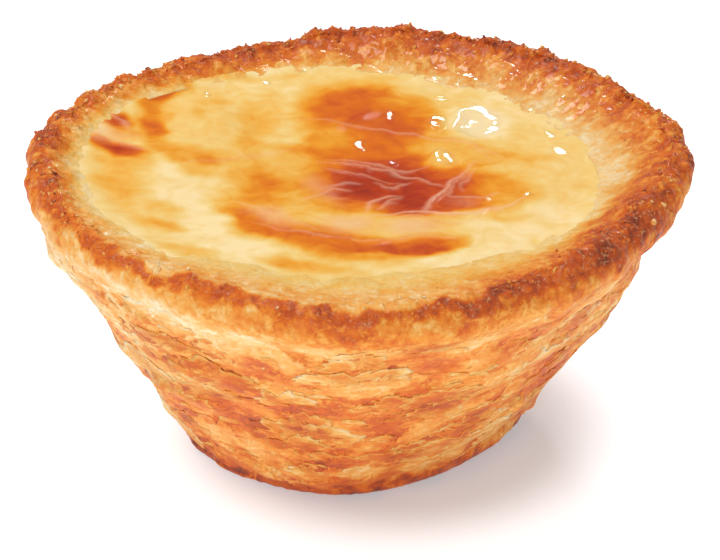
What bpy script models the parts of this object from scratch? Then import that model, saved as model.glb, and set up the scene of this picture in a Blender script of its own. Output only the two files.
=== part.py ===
"""A custard tart: a deep cup of puff pastry, filled to just under its rim with baked custard.

Metres, +Z up. The origin is the centre of the flat base, -Y is the front and +X the right.
Lengths in the named values are millimetres, and lists that run round the tart start at the
right and go by the back, a value every 30 degrees.
"""

import math
import random

import bmesh
import bpy
from mathutils import Vector, noise

MM = 0.001

# The cup's outline, from above and from the side
RIM_RADIUS = (38.2, 37.9, 37.7, 37.2, 36.2, 37.6, 37.7, 37.2, 36.8, 37.8, 37.2, 36.4)
RIM_HEIGHT = (35.3, 34.4, 34.1, 34.2, 32.9, 34.0, 34.9, 34.4, 34.3, 33.9, 34.3, 34.9)
RIM_WIDTH = (9.4, 9.2, 8.6, 6.9, 5.2, 5.4, 5.8, 6.6, 6.2, 6.2, 7.8, 8.8)
BASE_RADIUS = (20.4, 20.0, 19.4, 19.2, 19.4, 19.8, 20.4, 20.8, 20.0, 19.5, 18.8, 19.4)
BASE_EDGE = (4.0, 3.4, 2.6, 2.0, 1.6, 1.4, 1.2, 1.2, 1.4, 1.8, 3.0, 4.2)
ROLL_HALF_WIDTH = 2.6
ROLL_HALF_HEIGHT = 2.6
ROLL_UNDERSIDE = math.radians(-30)

# The wall swells low down, where it fills the tin, and again under the rim
WALL_BELLY = (1.6, 1.1, 0.6, 0.4, 0.3, 0.2, 0.0, 0.0, 0.2, 0.4, 0.9, 1.5)
WALL_SHOULDER = (-0.6, 0.1, 0.4, 0.3, 0.4, 0.8, 1.3, 1.2, 0.6, 0.4, 0.2, -0.7)
BELLY_PLACE = 0.65
SHOULDER_PLACE = 2.6

# The room inside the cup, and the gap between pastry and custard
FLOOR_THICKNESS = 3.4
FLOOR_RADIUS = 14.8
GAP = 0.36

# The custard's top
CUSTARD_EDGE = (31.4, 31.2, 31.4, 32.0, 32.1, 32.6, 33.0, 32.8, 32.8, 32.7, 32.2, 31.6)
CUSTARD_CENTRE = 31.5
MENISCUS = 0.35
MENISCUS_START = 0.9
CALM_START = 0.8
# Each swell or hollow: its middle to the right and back, its reach, and how far it lifts the skin
SWELLS = (
    (-19.0, 3.0, 9.0, 0.7),
    (3.0, 1.0, 10.0, -0.7),
    (-6.0, -13.0, 8.0, 0.45),
    (17.0, -3.0, 8.0, 0.35),
    (2.0, 17.0, 8.0, 0.3),
)

# Flakes on the wall: thin plates of pastry, each peeling at its upper edge
FLAKE_COUNT = 150
FLAKE_SEED = 11
FLAKE_HALF_LENGTH = (3.0, 8.5)
FLAKE_HALF_HEIGHT = (1.6, 3.8)
FLAKE_LIFT = (0.2, 0.55)
FLAKE_SINK = 0.55
FLAKE_PEEL = 0.35
FLAKE_STEP = 0.85
FLAKE_REACH = 1.4

# Uneven forms, each as size and depth: torn flake edges, the rim's lumps and crumbs,
# slow waves in the pastry, and waves in the custard's skin
TORN_EDGE = (2.2, 0.3)
RIM_LUMP = (3.4, 0.65)
RIM_CRUMB = (2.1, 0.6)
PASTRY_WAVE = (9.0, 0.5)
SKIN_WAVE = (7.0, 0.2)

# Columns of faces round the tart, and rows along each stretch of the outline
PASTRY_COLUMNS = 144
CUSTARD_COLUMNS = 72
EDGE_ROWS = 3
WALL_ROWS = 22
ROLL_ROWS = 7
SLOPE_ROWS = 4
INSIDE_ROWS = 2
CUSTARD_RINGS = 9
SHARP_ANGLE = math.radians(48)


def around(values, bearing):
    """The smooth closed curve through evenly spaced values, at a bearing in radians."""
    place = (bearing % math.tau) / math.tau * len(values)
    start = int(place)
    t = place - start
    before, here, after, beyond = (values[(start + k - 1) % len(values)] for k in range(4))
    slope_here, slope_after = (after - before) / 2, (beyond - here) / 2
    bend = (2 * t**3 - 3 * t**2) * (here - after)
    return here + bend + (t**3 - 2 * t**2 + t) * slope_here + (t**3 - t**2) * slope_after


def blend(low, high, value):
    """0 below low, 1 above high, and a smooth step between them."""
    t = min(max((value - low) / (high - low), 0.0), 1.0)
    return t * t * (3 - 2 * t)


def grain(x, y, z, form, seed=0.0):
    """Smooth noise with the size and depth of a form, in millimetres."""
    size, depth = form
    return depth * noise.noise(Vector((x / size + seed, y / size - seed, z / size + seed)))


def polar(radius, bearing):
    return radius * math.cos(bearing), radius * math.sin(bearing)


def fill_radius(bearing, height):
    """The radius of the room for the custard at a height."""
    top_radius = around(RIM_RADIUS, bearing) - around(RIM_WIDTH, bearing)
    share = (height - FLOOR_THICKNESS) / (around(CUSTARD_EDGE, bearing) - FLOOR_THICKNESS)
    return FLOOR_RADIUS + (top_radius - FLOOR_RADIUS) * share


def base_edge_points(bearing):
    """The rounded lower edge, from the flat base up to where the wall starts."""
    base, edge = around(BASE_RADIUS, bearing), around(BASE_EDGE, bearing)
    points = []
    for row in range(EDGE_ROWS):
        turn = math.pi / 2 * row / EDGE_ROWS
        radius, height = base - edge * (1 - math.sin(turn)), edge * (1 - math.cos(turn))
        points.append((radius, height, 0.0, row / EDGE_ROWS))
    return points


def wall_points(bearing, top):
    """The wall from the base's rounded edge up to its top, just under the rim's roll."""
    base, edge = around(BASE_RADIUS, bearing), around(BASE_EDGE, bearing)
    belly, shoulder = around(WALL_BELLY, bearing), around(WALL_SHOULDER, bearing)
    points = []
    for row in range(WALL_ROWS):
        t = row / WALL_ROWS
        radius = base + (top[0] - base) * t
        radius += belly * math.sin(math.pi * t**BELLY_PLACE)
        radius += shoulder * math.sin(math.pi * t**SHOULDER_PLACE)
        flaky = blend(0.0, 0.12, t) * (1 - blend(0.88, 1.0, t))
        points.append((radius, edge + (top[1] - edge) * t, flaky, 1 - flaky))
    return points


def pastry_outline(bearing):
    """The cup's section at a bearing, from the base's edge over the rim to the floor inside.

    Each point is its radius, its height, how much it flakes and how craggy it is."""
    height = around(RIM_HEIGHT, bearing)
    middle = (around(RIM_RADIUS, bearing) - ROLL_HALF_WIDTH, height - ROLL_HALF_HEIGHT)
    roll = []
    for row in range(ROLL_ROWS):
        turn = ROLL_UNDERSIDE + (math.pi / 2 - ROLL_UNDERSIDE) * row / ROLL_ROWS
        radius = middle[0] + ROLL_HALF_WIDTH * math.cos(turn)
        roll.append((radius, middle[1] + ROLL_HALF_HEIGHT * math.sin(turn), 0.0, 1.0))
    points = base_edge_points(bearing) + wall_points(bearing, roll[0]) + roll
    inner_edge = around(CUSTARD_EDGE, bearing)
    inner_radius = fill_radius(bearing, inner_edge) + GAP / 2
    for row in range(SLOPE_ROWS):
        t = row / SLOPE_ROWS
        drop = (height - inner_edge) * blend(-0.25, 1.1, t)
        points.append((middle[0] + (inner_radius - middle[0]) * t, height - drop, 0.0, 1 - t))
    for row in range(INSIDE_ROWS + 1):
        level = inner_edge + (FLOOR_THICKNESS - inner_edge) * row / INSIDE_ROWS
        points.append((fill_radius(bearing, level) + GAP / 2, level, 0.0, 0.0))
    return points


def custard_outline(bearing):
    """The custard's section, from the middle of its top over its edge to its underside."""
    reach = fill_radius(bearing, around(CUSTARD_EDGE, bearing)) - GAP / 2
    points = [(reach * ring / CUSTARD_RINGS, None) for ring in range(CUSTARD_RINGS + 1)]
    points.append((fill_radius(bearing, FLOOR_THICKNESS) - GAP, FLOOR_THICKNESS + GAP))
    return points


def custard_height(radius, bearing):
    """How high the custard's skin lies."""
    top = around(CUSTARD_EDGE, bearing)
    share = radius / fill_radius(bearing, top)
    x, y = polar(radius, bearing)
    height = CUSTARD_CENTRE + (top - MENISCUS - CUSTARD_CENTRE) * share**2
    height += MENISCUS * blend(MENISCUS_START, 1.0, share)
    calm = 1 - blend(CALM_START, 1.0, share)
    for middle_x, middle_y, reach, lift in SWELLS:
        away = ((x - middle_x) ** 2 + (y - middle_y) ** 2) / reach**2
        height += lift * math.exp(-away) * calm
    return height + grain(x, y, 0.0, SKIN_WAVE, 4.0) * calm


def make_flakes():
    """Bearing, height, half length, half height, lift and seed of each flake on the wall."""
    draw = random.Random(FLAKE_SEED)
    wall_height = min(RIM_HEIGHT)
    return [
        (
            draw.uniform(0, math.tau),
            draw.uniform(0.0, wall_height),
            draw.uniform(*FLAKE_HALF_LENGTH),
            draw.uniform(*FLAKE_HALF_HEIGHT),
            draw.uniform(*FLAKE_LIFT),
            draw.uniform(0, 50),
        )
        for _ in range(FLAKE_COUNT)
    ]


def flake_relief(flakes, radius, bearing, height):
    """How far the stacked flakes stand out at a place on the wall."""
    relief = -FLAKE_SINK
    for middle, level, half_length, half_height, lift, seed in flakes:
        up = (height - level) / half_height
        if abs(up) > FLAKE_REACH:
            continue
        turn = (bearing - middle + math.pi) % math.tau - math.pi
        along = turn * radius / half_length
        if abs(along) > FLAKE_REACH:
            continue
        x, y = polar(radius, bearing)
        away = math.hypot(along, up) + grain(x, y, height, TORN_EDGE, seed)
        relief += lift * (1 - blend(FLAKE_STEP, 1.0, away)) * (1 + FLAKE_PEEL * (up - 1))
    return relief


def crag_relief(x, y, z):
    """How far the rim's lumps and crumbs stand out."""
    return grain(x, y, z, RIM_LUMP) + abs(grain(x, y, z, RIM_CRUMB, 9.0))


def wrapped_sheet(columns, rows):
    """A sheet of squares whose x runs once round in columns and whose y counts rows from 0."""
    sheet = bmesh.new()
    bmesh.ops.create_grid(sheet, x_segments=columns, y_segments=rows, size=0.5)
    bmesh.ops.translate(sheet, verts=sheet.verts, vec=(0.5, 0.5, 0.0))
    bmesh.ops.scale(sheet, verts=sheet.verts, vec=(math.tau, rows, 1.0))
    return sheet


def close_and_name(sheet, name, colour, roughness):
    """Welds the wrapped sheet's seam, caps its open ends and makes it a named object."""
    bmesh.ops.remove_doubles(sheet, verts=sheet.verts, dist=0.00001)
    bmesh.ops.holes_fill(sheet, edges=[e for e in sheet.edges if e.is_boundary], sides=0)
    bmesh.ops.recalc_face_normals(sheet, faces=sheet.faces)
    mesh = bpy.data.meshes.new(name)
    sheet.to_mesh(mesh)
    sheet.free()
    mesh.shade_smooth()
    mesh.set_sharp_from_angle(angle=SHARP_ANGLE)
    material = bpy.data.materials.new(name)
    material.use_nodes = True
    shader = material.node_tree.nodes["Principled BSDF"]
    shader.inputs["Base Color"].default_value = (*colour, 1.0)
    shader.inputs["Roughness"].default_value = roughness
    mesh.materials.append(material)
    thing = bpy.data.objects.new(name, mesh)
    bpy.context.scene.collection.objects.link(thing)
    return thing


def relief_direction(outline, row):
    """The way out of a section at one of its points, as a radius part and a height part."""
    before, after = outline[max(row - 1, 0)], outline[min(row + 1, len(outline) - 1)]
    along_radius, along_height = after[0] - before[0], after[1] - before[1]
    length = math.hypot(along_radius, along_height)
    return along_height / length, -along_radius / length


def make_pastry():
    sheet = wrapped_sheet(PASTRY_COLUMNS, len(pastry_outline(0.0)) - 1)
    flakes = make_flakes()
    for vert in sheet.verts:
        bearing = vert.co.x
        row = round(vert.co.y)
        outline = pastry_outline(bearing)
        radius, height, flaky, craggy = outline[row]
        x, y = polar(radius, bearing)
        relief = grain(x, y, height, PASTRY_WAVE, 2.0) * min(flaky + craggy, 1.0)
        if flaky:
            relief += flaky * flake_relief(flakes, radius, bearing, height)
        if craggy:
            relief += craggy * crag_relief(x, y, height)
        out_radius, out_height = relief_direction(outline, row)
        radius += relief * out_radius
        height = max(height + relief * out_height, 0.0) if row else 0.0
        vert.co = Vector((*polar(radius, bearing), height)) * MM
    return close_and_name(sheet, "pastry_cup", (0.78, 0.38, 0.11), 0.6)


def make_custard():
    sheet = wrapped_sheet(CUSTARD_COLUMNS, len(custard_outline(0.0)) - 1)
    for vert in sheet.verts:
        bearing = vert.co.x
        radius, height = custard_outline(bearing)[round(vert.co.y)]
        if height is None:
            height = custard_height(radius, bearing)
        vert.co = Vector((*polar(radius, bearing), height)) * MM
    return close_and_name(sheet, "custard", (0.90, 0.66, 0.22), 0.2)


def main():
    for thing in list(bpy.data.objects):
        bpy.data.objects.remove(thing)
    make_pastry()
    make_custard()


main()
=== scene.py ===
"""The looks of a custard tart: torn, layered puff pastry round a glossy, caramelised custard.

Lengths are millimetres until a mesh takes its places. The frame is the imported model's: +Z up,
the origin in the middle of the flat base, -Y the front and +X the right. Lists that run round the
tart start at the right and go by the back, a value every 30 degrees.
"""

import math
import random

import bmesh
import bpy
import numpy as np
from mathutils import Euler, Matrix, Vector, noise


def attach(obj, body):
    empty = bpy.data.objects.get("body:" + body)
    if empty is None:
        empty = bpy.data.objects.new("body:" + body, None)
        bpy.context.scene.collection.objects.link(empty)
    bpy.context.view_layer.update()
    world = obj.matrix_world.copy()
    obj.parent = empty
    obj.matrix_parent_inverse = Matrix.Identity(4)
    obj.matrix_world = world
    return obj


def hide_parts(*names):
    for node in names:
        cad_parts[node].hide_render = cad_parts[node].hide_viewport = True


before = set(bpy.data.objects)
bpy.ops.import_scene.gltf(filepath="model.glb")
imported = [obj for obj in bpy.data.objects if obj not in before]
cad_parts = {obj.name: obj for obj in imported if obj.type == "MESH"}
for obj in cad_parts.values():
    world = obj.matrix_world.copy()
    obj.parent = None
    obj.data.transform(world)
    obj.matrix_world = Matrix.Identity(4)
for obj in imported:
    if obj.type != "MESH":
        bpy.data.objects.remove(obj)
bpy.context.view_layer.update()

MM = 0.001
TURN = math.tau

# The cup's outline, as the solids have it
RIM_RADIUS = (38.2, 37.9, 37.7, 37.2, 36.2, 37.6, 37.7, 37.2, 36.8, 37.8, 37.2, 36.4)
RIM_HEIGHT = (35.3, 34.4, 34.1, 34.2, 32.9, 34, 34.9, 34.4, 34.3, 33.9, 34.3, 34.9)
RIM_WIDTH = (9.4, 9.2, 8.6, 6.9, 5.2, 5.4, 5.8, 6.6, 6.2, 6.2, 7.8, 8.8)
BASE_RADIUS = (20.4, 20, 19.4, 19.2, 19.4, 19.8, 20.4, 20.8, 20, 19.5, 18.8, 19.4)
BASE_EDGE = (4, 3.4, 2.6, 2, 1.6, 1.4, 1.2, 1.2, 1.4, 1.8, 3, 4.2)
ROLL_HALF_WIDTH = 2.6
ROLL_HALF_HEIGHT = 2.6
ROLL_UNDERSIDE = math.radians(-30)
WALL_BELLY = (1.6, 1.1, 0.6, 0.4, 0.3, 0.2, 0, 0, 0.2, 0.4, 0.9, 1.5)
WALL_SHOULDER = (-0.6, 0.1, 0.4, 0.3, 0.4, 0.8, 1.3, 1.2, 0.6, 0.4, 0.2, -0.7)
BELLY_PLACE = 0.65
SHOULDER_PLACE = 2.6
FLOOR_THICKNESS = 3.4
FLOOR_RADIUS = 14.8

# The custard's top, as the solids have it: each swell is its middle, its reach and its lift
CUSTARD_EDGE = (31.4, 31.2, 31.4, 32, 32.1, 32.6, 33, 32.8, 32.8, 32.7, 32.2, 31.6)
CUSTARD_CENTRE = 31.5
MENISCUS = 0.35
SWELLS = (
    (-19, 3, 9, 0.7),
    (3, 1, 10, -0.7),
    (-6, -13, 8, 0.45),
    (17, -3, 8, 0.35),
    (2, 17, 8, 0.3),
)

# The wall's stacked flakes, the rim's lumps and crumbs, and the slow waves, as the solids have them
FLAKE_COUNT = 150
FLAKE_SEED = 11
FLAKE_HALF_LENGTH = (3, 8.5)
FLAKE_HALF_HEIGHT = (1.6, 3.8)
FLAKE_LIFT = (0.2, 0.55)
FLAKE_SINK = 0.55
FLAKE_PEEL = 0.35
FLAKE_STEP = 0.85
FLAKE_REACH = 1.4
TORN_EDGE = (2.2, 0.3)
RIM_LUMP = (3.4, 0.65)
RIM_CRUMB = (2.1, 0.6)
PASTRY_WAVE = (9, 0.5)
SKIN_WAVE = (7, 0.2)

# How fine the meshes are, and how much closer their columns lie at the front
WALL_COLUMNS = 840
WALL_ROWS = 102
EDGE_ROWS = 8
RIM_COLUMNS = 960
SKIRT_ROWS = 10
ROLL_ROWS = 44
SLOPE_ROWS = 42
CUSTARD_SQUARES = 300
FRONT_CLOSENESS = 0.35
# Vertices closer than this are one, in metres
WELD_REACH = 0.0000005
# What turns a crumb's middle into its own value
CRUMB_MIXING = (12.9, 78.2, 37.7)


def linear(red, green, blue):
    """A socket's colour, from the 0 to 255 that a screen shows."""
    shares = (value / 255 for value in (red, green, blue))
    return *(v / 12.92 if v <= 0.04 else ((v + 0.055) / 1.055) ** 2.4 for v in shares), 1.0


# Curves that the pieces share


def smooth_between(before, here, after, beyond, t):
    """The smooth curve on from here, at a share t of the way to after."""
    slope_here, slope_after = (after - before) / 2, (beyond - here) / 2
    bend = (2 * t**3 - 3 * t**2) * (here - after)
    return here + bend + (t**3 - 2 * t**2 + t) * slope_here + (t**3 - t**2) * slope_after


def around(values, bearing):
    """The smooth closed curve through evenly spaced values, at bearings in radians."""
    values = np.asarray(values, float)
    place = np.mod(bearing, TURN) / TURN * len(values)
    start = np.floor(place).astype(int)
    near = (values[(start + step) % len(values)] for step in (-1, 0, 1, 2))
    return smooth_between(*near, place - start)


def blend(low, high, value):
    """0 below low, 1 above high, and a smooth step between them."""
    t = np.clip((value - low) / (high - low), 0, 1)
    return t * t * (3 - 2 * t)


def noise_places(x, y, z, size, seed):
    return np.stack(np.broadcast_arrays(x / size + seed, y / size - seed, z / size + seed), axis=-1)


def grain(x, y, z, size, depth=1.0, seed=0.0):
    """Smooth noise, whose lumps are about size across, from minus to plus its depth."""
    places = noise_places(x, y, z, size, seed)
    values = [noise.noise(place) for place in places.reshape(-1, 3).tolist()]
    return depth * np.array(values).reshape(places.shape[:-1])


def crumbs(x, y, z, seed):
    """Rounded crumbs about 1 across: how high each place is on its crumb, and a value a crumb."""
    places = noise_places(x, y, z, 1, seed)
    found = [noise.voronoi(place) for place in places.reshape(-1, 3).tolist()]
    away = np.array([distances[0] for distances, _ in found]).reshape(places.shape[:-1])
    middles = np.array([middle[0][:] for _, middle in found])
    value = np.mod(np.abs(middles @ CRUMB_MIXING), 1.0).reshape(places.shape[:-1])
    return 1 - np.clip(away * 1.5, 0, 1) ** 2, value


def level_places(radius, bearing):
    return radius * np.cos(bearing), radius * np.sin(bearing)


def turned(bearing, middle):
    """How far a bearing is from a middle one, from minus to plus half a turn."""
    return np.mod(bearing - middle + math.pi, TURN) - math.pi


def column_bearings(count):
    """The bearings of a wrapped sheet's columns, which lie closer together at the front."""
    even = np.arange(count) / count * TURN
    return even - FRONT_CLOSENESS * np.cos(even)


def column_at(bearing, count):
    """The column of a wrapped sheet, with its fraction, at a bearing."""
    even = np.arange(count + 1) / count * TURN
    bearing = np.mod(bearing + FRONT_CLOSENESS, TURN) - FRONT_CLOSENESS
    return np.interp(bearing, even - FRONT_CLOSENESS * np.cos(even), np.arange(count + 1))


def fill_radius(bearing, height):
    """The radius of the room for the custard at a height."""
    top_radius = around(RIM_RADIUS, bearing) - around(RIM_WIDTH, bearing)
    share = (height - FLOOR_THICKNESS) / (around(CUSTARD_EDGE, bearing) - FLOOR_THICKNESS)
    return FLOOR_RADIUS + (top_radius - FLOOR_RADIUS) * share


def roll_point(bearing, turn):
    """Radius and height on the rim's rounded outside, from its underside up to its crest."""
    middle_radius = around(RIM_RADIUS, bearing) - ROLL_HALF_WIDTH
    middle_height = around(RIM_HEIGHT, bearing) - ROLL_HALF_HEIGHT
    return middle_radius + ROLL_HALF_WIDTH * np.cos(turn), middle_height + ROLL_HALF_HEIGHT * np.sin(turn)


def wall_point(bearing, share):
    """Radius and height on the wall, at a share of the way from the base's edge to the rim."""
    base, edge = around(BASE_RADIUS, bearing), around(BASE_EDGE, bearing)
    top_radius, top_height = roll_point(bearing, ROLL_UNDERSIDE)
    inside = np.clip(share, 0, 1)
    radius = base + (top_radius - base) * share
    radius = radius + around(WALL_BELLY, bearing) * np.sin(math.pi * inside**BELLY_PLACE)
    radius = radius + around(WALL_SHOULDER, bearing) * np.sin(math.pi * inside**SHOULDER_PLACE)
    return radius, edge + (top_height - edge) * share


def stacked(bearing, rows):
    """A sheet's bearings, radii, heights and shares, from the last three of each row."""
    parts = [np.array([np.broadcast_to(part, bearing.shape) for part in column]) for column in zip(*rows)]
    return np.broadcast_to(bearing, parts[0].shape), *parts


def outward(radius, height):
    """The way out of sections whose rows run from the base up the outside, as two arrays."""
    along_radius, along_height = np.gradient(radius, axis=0), np.gradient(height, axis=0)
    length = np.hypot(along_radius, along_height) + 1e-9
    return along_height / length, -along_radius / length


def bilinear(table, row, column):
    """A table's value between its rows and its columns, which close round the tart."""
    row = np.clip(row, 0, table.shape[0] - 1.001)
    low_row, low_column = np.floor(row).astype(int), np.floor(column).astype(int)
    t, s = row - low_row, column - low_column
    near, far = low_column % table.shape[1], (low_column + 1) % table.shape[1]
    low = table[low_row, near] * (1 - s) + table[low_row, far] * s
    high = table[low_row + 1, near] * (1 - s) + table[low_row + 1, far] * s
    return low * (1 - t) + high * t


def softened(table, rounds):
    """A table that closes round the tart, with its steps smoothed out."""
    for _ in range(rounds):
        table = (np.roll(table, 1, axis=1) + 2 * table + np.roll(table, -1, axis=1)) / 4
        padded = np.pad(table, ((1, 1), (0, 0)), mode="edge")
        table = (padded[:-2] + 2 * table + padded[2:]) / 4
    return table


# Browning: 0 is cream, 0.3 golden, 0.5 deep orange, 0.7 brown and 1 burnt

WALL_BROWN = 0.41
WALL_BLOTCH = (7, 0.2)
# Soft spots on the wall: bearing in degrees, height, reach round in degrees, reach up, the change
WALL_SPOTS = (
    (198, 28, 16, 5, -0.2),
    (205, 24, 12, 5, -0.16),
    (226, 30, 14, 2.4, -0.24),
    (246, 29, 12, 2.2, -0.22),
    (262, 28, 9, 1.6, -0.16),
    (266, 22, 5, 1.6, -0.14),
    (288, 26, 6, 2.2, -0.2),
    (296, 28, 5, 1.2, -0.14),
    (303, 22, 5, 2.2, -0.16),
    (324, 28, 9, 4, -0.12),
    (309, 27, 6, 3, 0.12),
    (330, 20, 10, 6, 0.05),
    (257, 15, 7, 3, 0.12),
    (242, 11, 8, 2.4, 0.1),
    (270, 25, 5, 2, 0.12),
    (281, 19, 6, 1.8, 0.12),
    (296, 10, 12, 3, 0.1),
    (312, 15, 8, 2.6, 0.12),
    (276, 8, 16, 3, 0.1),
    (215, 9, 14, 5, -0.05),
    (232, 20, 12, 4, -0.06),
    (60, 22, 20, 6, -0.12),
    (110, 14, 22, 6, 0.1),
    (150, 26, 16, 5, -0.15),
    (20, 12, 16, 5, 0.08),
)
# The browned foot of the wall: how brown, and how high it reaches
FOOT_BROWN = 0.66
FOOT_HEIGHT = 1.5
FOOT_RAGGED = (1.6, 0.5)

# The rim's browning by bearing: at its crest, down its slope and at the custard
CREST_BROWN = (0.54, 0.55, 0.58, 0.58, 0.57, 0.54, 0.58, 0.53, 0.56, 0.58, 0.63, 0.67)
SLOPE_BROWN = (0.42, 0.4, 0.39, 0.48, 0.44, 0.4, 0.4, 0.31, 0.24, 0.25, 0.36, 0.56)
INNER_BROWN = (0.1, 0.12, 0.15, 0.18, 0.18, 0.12, 0.08, 0.06, 0.12, 0.16, 0.16, 0.12)
# Where the crest's brown lies across the rim, from 0 below its roll by 0.5 on its crest to 1 at the
# custard, and how far it reaches either way
CREST_PLACE = (0.43, 0.43, 0.43, 0.45, 0.45, 0.43, 0.42, 0.38, 0.31, 0.32, 0.36, 0.36)
CREST_REACH = (0.26, 0.26, 0.28, 0.26, 0.24, 0.22, 0.22, 0.15, 0.11, 0.11, 0.17, 0.3)
INNER_PLACE = 0.97
CREST_FLAT = 0.3
# How much browner the rim's outside is than the wall under it
UNDER_TONE = (0.08, 0.12, 0.12, 0.12, 0.12, 0.1, 0.05, -0.02, -0.05, -0.04, 0, 0.06)
# How ragged the edges of the rim's brown are: size in millimetres, and depth as a share of across
RIM_RAGGED = ((4.5, 0.13), (1.4, 0.08))
# How far the custard's glaze covers the rim's slope
GLAZED = (0.3, 0.2, 0.2, 0.3, 0.5, 0.8, 0.9, 0.9, 1, 1, 0.9, 0.6)
# How craggy the rim is, how wet its slope is, and how far its crust creeps in over the custard
CRAGGY = (0.9, 1, 1, 0.8, 0.9, 1, 0.9, 0.7, 0.45, 0.4, 0.5, 0.8)
WET = (0.5, 0.9, 0.9, 0.5, 0.2, 0.1, 0.1, 0.1, 0.1, 0.1, 0.2, 0.4)
CREEP = (1.3, 1.7, 2.2, 2.3, 1.6, 0.6, 0.5, 0.9, 4.8, 6.6, 4.8, 0.9)


def wall_brown(bearing, height):
    """How brown the wall is, before its layers are told apart."""
    brown = WALL_BROWN + grain(*level_places(30, bearing), height * 1.5, *WALL_BLOTCH, 3.0)
    for degrees, level, reach_round, reach_up, change in WALL_SPOTS:
        away = (turned(bearing, math.radians(degrees)) / math.radians(reach_round)) ** 2
        brown = brown + change * np.exp(-away - ((height - level) / reach_up) ** 2)
    band = around(BASE_EDGE, bearing) * 0.5 + FOOT_HEIGHT
    ragged = grain(*level_places(20, bearing), height * 1.5, *FOOT_RAGGED, 6.0)
    return brown + (FOOT_BROWN - brown) * (1 - blend(0.5, 1.0, height / band + ragged))


def rim_brown(bearing, height, across):
    """How brown the rim is, across it from the wall to the custard."""
    brown = wall_brown(bearing, height) + around(UNDER_TONE, bearing)
    x, y = level_places(max(RIM_RADIUS), bearing)
    for size, depth in RIM_RAGGED:
        across = across + grain(x, y, height, size, depth, 27.0)
    crest, reach = around(CREST_PLACE, bearing), around(CREST_REACH, bearing)
    steps = (
        (crest - reach, crest - CREST_FLAT * reach, CREST_BROWN),
        (crest + CREST_FLAT * reach, crest + reach, SLOPE_BROWN),
        (crest + reach, INNER_PLACE, INNER_BROWN),
    )
    for start, end, values in steps:
        brown = brown + (around(values, bearing) - brown) * blend(start, end, across)
    return brown


# Mesh making


def wrapped_sheet(columns, rows, closed_rows=False):
    """A sheet of squares rolled up round the tart, and into a ring if its rows close too."""
    sheet = bmesh.new()
    bmesh.ops.create_grid(sheet, x_segments=columns, y_segments=rows, size=0.5)
    bmesh.ops.translate(sheet, verts=sheet.verts, vec=(0.5, 0.5, 0.0))
    bmesh.ops.scale(sheet, verts=sheet.verts, vec=(columns, rows, 1.0))
    places = np.array([vert.co[:2] for vert in sheet.verts])
    column, row = np.rint(places[:, 0]).astype(int) % columns, np.rint(places[:, 1]).astype(int)
    if closed_rows:
        row %= rows
    return sheet, column, row


def place(sheet, points):
    """Moves a sheet's vertices to points in millimetres."""
    for vert, point in zip(sheet.verts, (points * MM).tolist()):
        vert.co = point


def from_polar(radius, bearing, height):
    return np.stack([*level_places(radius, bearing), height], axis=-1)


def show(name, data):
    """A new object in the scene."""
    made = bpy.data.objects.new(name, data)
    bpy.context.scene.collection.objects.link(made)
    return made


def finish_piece(sheet, name, finish, nodes, values):
    """Makes the sheet an object that stands for its CAD nodes, with a value for each vertex."""
    mesh = bpy.data.meshes.new(name)
    layers = {key: sheet.verts.layers.float.new(key) for key in values}
    for key, layer in layers.items():
        for vert, value in zip(sheet.verts, values[key].tolist()):
            vert[layer] = value
    bmesh.ops.remove_doubles(sheet, verts=sheet.verts, dist=WELD_REACH)
    bmesh.ops.holes_fill(sheet, edges=[edge for edge in sheet.edges if edge.is_boundary], sides=0)
    bmesh.ops.recalc_face_normals(sheet, faces=sheet.faces)
    sheet.to_mesh(mesh)
    sheet.free()
    mesh.shade_smooth()
    mesh.materials.append(finish.material)
    piece = show(name, mesh)
    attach(piece, "root")
    if nodes:
        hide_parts(*nodes)


def copied(pattern, count):
    """A bmesh with count copies of a pattern bmesh, and the pattern's own vertices as an array."""
    mesh = bpy.data.meshes.new("pattern")
    pattern.to_mesh(mesh)
    pattern.free()
    many = bmesh.new()
    for _ in range(count):
        many.from_mesh(mesh)
    points = np.array([vert.co[:] for vert in mesh.vertices])
    bpy.data.meshes.remove(mesh)
    return many, points


# Materials


class Wire:
    """A value, colour or vector in a material, whose arithmetic adds its nodes."""

    def __init__(self, finish, socket):
        self.finish, self.socket = finish, socket

    def math(self, operation, *others):
        values = dict(enumerate((self, *others)))
        return self.finish.node("ShaderNodeMath", {"operation": operation}, values)

    def __add__(self, other):
        return self.math("ADD", other)

    def __sub__(self, other):
        return self.math("SUBTRACT", other)

    def __mul__(self, other):
        return self.math("MULTIPLY", other)

    def __rsub__(self, other):
        return (self * -1.0) + other

    __radd__ = __add__
    __rmul__ = __mul__

    def clamped(self):
        return self.math("MAXIMUM", 0.0).math("MINIMUM", 1.0)

    def stepped(self, low, high):
        """0 below low, 1 above high, and a smooth step between them."""
        settings = {"interpolation_type": "SMOOTHSTEP"}
        return self.finish.node("ShaderNodeMapRange", settings, {0: self, 1: low, 2: high})

    def ramp(self, stops):
        """The colour at this value, between stops of place and colour."""
        return self.finish.node("ShaderNodeValToRGB", {"stops": stops}, {0: self})


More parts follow.
